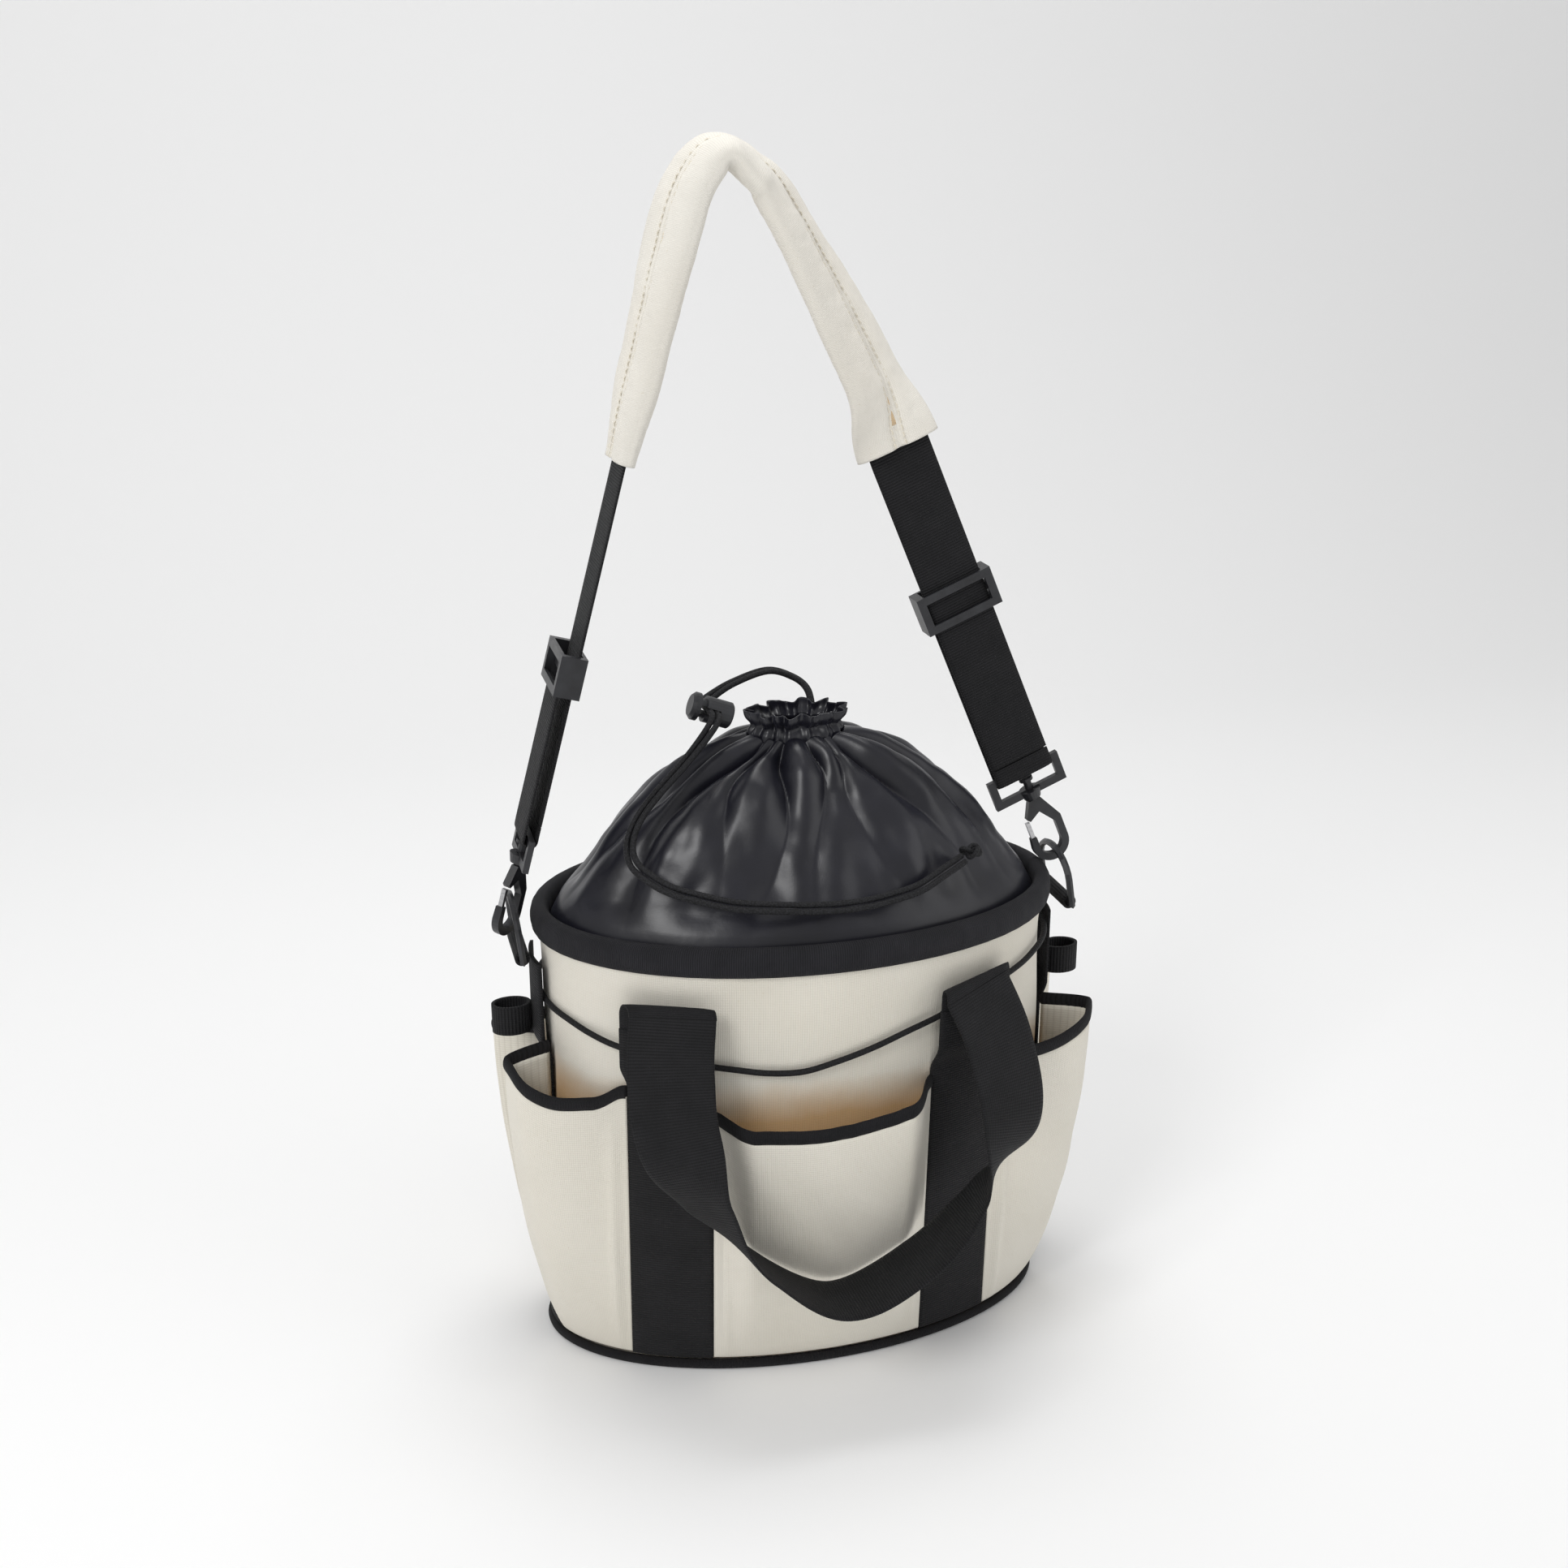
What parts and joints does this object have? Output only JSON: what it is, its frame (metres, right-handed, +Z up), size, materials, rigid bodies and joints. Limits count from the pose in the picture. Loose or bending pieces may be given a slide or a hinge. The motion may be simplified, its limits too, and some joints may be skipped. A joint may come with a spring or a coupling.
{
  "type": "garden tool bag",
  "caption": "Oval canvas garden tool bag with outside pockets, webbing handles, drawstring hood and a clip-on padded shoulder strap.",
  "frame": {"origin": "middle of the underside, on the surface the bag stands on", "axes": "+Z up; +X along the length of the bag towards the right end; -Y towards the front"},
  "size_m": [0.3806, 0.3198, 0.7233],
  "materials": {
    "canvas": "plain woven cotton canvas",
    "webbing": "ribbed black webbing",
    "nylon": "satin nylon",
    "cord": "braided cord",
    "plastic": "moulded black plastic",
    "gate_steel": "thin bright gate",
    "foam": "closed-cell foam"
  },
  "bodies": {
    "bag": {"body_wall": "canvas", "base_panel": "canvas", "base_piping": "webbing", "rim_binding": "webbing", "hood": "nylon", "hood_channel": "nylon", "drawcord_strand_1": "cord", "drawcord_strand_2": "cord", "drawcord_knot": "cord", "front_web_1": "webbing", "front_web_2": "webbing", "front_pocket_left": "canvas", "front_pocket_left_binding": "webbing", "front_pocket_centre": "canvas", "front_pocket_centre_binding": "webbing", "front_pocket_right": "canvas", "front_pocket_right_binding": "webbing", "rear_web_1": "webbing", "rear_web_2": "webbing", "rear_pocket_left": "canvas", "rear_pocket_left_binding": "webbing", "rear_pocket_centre": "canvas", "rear_pocket_centre_binding": "webbing", "rear_pocket_right": "canvas", "rear_pocket_right_binding": "webbing", "elastic_cord": "cord", "side_strap_left": "webbing", "tool_loop_left": "webbing", "ring_keeper_left": "webbing", "side_strap_right": "webbing", "tool_loop_right": "webbing", "ring_keeper_right": "webbing"},
    "front_handle": {"front_handle": "webbing"},
    "rear_handle": {"rear_handle": "webbing"},
    "shoulder_strap": {"shoulder_webbing": "webbing", "pad_cover": "canvas", "pad_foam": "foam", "hook_frame_left": "plastic", "webbing_return_left": "webbing", "hook_frame_right": "plastic", "webbing_return_right": "webbing"},
    "cord_lock": {"cord_lock_body": "plastic"},
    "cord_lock_plunger": {"cord_lock_plunger": "plastic"},
    "left_ring": {"d_ring_left": "plastic"},
    "left_slider": {"slider_left": "plastic"},
    "left_hook": {"hook_left": "plastic"},
    "left_gate": {"hook_gate_left": "gate_steel"},
    "right_ring": {"d_ring_right": "plastic"},
    "right_slider": {"slider_right": "plastic"},
    "right_hook": {"hook_right": "plastic"},
    "right_gate": {"hook_gate_right": "gate_steel"}
  },
  "joints": [
    {"name": "front_handle_swing", "type": "hinge", "parent": "bag", "child": "front_handle", "pos_m": [0, -0.103, 0.251], "axis": [-1, 0, 0], "range_deg": [0, 160]},
    {"name": "rear_handle_swing", "type": "hinge", "parent": "bag", "child": "rear_handle", "pos_m": [0, 0.103, 0.251], "axis": [1, 0, 0], "range_deg": [0, 160]},
    {"name": "shoulder_strap_swing", "type": "hinge", "parent": "bag", "child": "shoulder_strap", "pos_m": [0, 0, 0.296], "axis": [1, 0, 0], "range_deg": [-18, 18]},
    {"name": "cord_lock_slide", "type": "slide", "parent": "bag", "child": "cord_lock", "axis": [0, 1, 0], "range_m": [-0.003, 0.004]},
    {"name": "cord_lock_press", "type": "slide", "parent": "cord_lock", "child": "cord_lock_plunger", "axis": [0.9397, 0, -0.342], "range_m": [0, 0.003], "stiffness_N_per_m": 600},
    {"name": "left_ring_tilt", "type": "hinge", "parent": "bag", "child": "left_ring", "pos_m": [-0.172, 0, 0.264], "axis": [0, 1, 0], "range_deg": [-0.8, 0]},
    {"name": "left_slider_slide", "type": "slide", "parent": "shoulder_strap", "child": "left_slider", "axis": [0.2588, 0, 0.9659], "range_m": [-0.03, 0.03]},
    {"name": "left_hook_swivel", "type": "hinge", "parent": "shoulder_strap", "child": "left_hook", "pos_m": [-0.164, 0, 0.337], "axis": [0.2588, 0, 0.9659], "range_deg": [-5, 0]},
    {"name": "left_gate_flex", "type": "hinge", "parent": "left_hook", "child": "left_gate", "pos_m": [-0.17889, -0.0072, 0.30476], "axis": [0.7399, -0.6428, -0.1983], "range_deg": [0, 10], "stiffness_Nm_per_rad": 0.02},
    {"name": "right_ring_tilt", "type": "hinge", "parent": "bag", "child": "right_ring", "pos_m": [0.175, 0, 0.264], "axis": [0, 1, 0], "range_deg": [-2, 2]},
    {"name": "right_slider_slide", "type": "slide", "parent": "shoulder_strap", "child": "right_slider", "axis": [-0.3907, 0, 0.9205], "range_m": [-0.03, 0.03]},
    {"name": "right_hook_swivel", "type": "hinge", "parent": "shoulder_strap", "child": "right_hook", "pos_m": [0.147, 0, 0.3485], "axis": [-0.3907, 0, 0.9205], "range_deg": [-5, 5]},
    {"name": "right_gate_flex", "type": "hinge", "parent": "right_hook", "child": "right_gate", "pos_m": [0.15202, 0, 0.31261], "axis": [0, -1, 0], "range_deg": [0, 18], "stiffness_Nm_per_rad": 0.02}
  ]
}
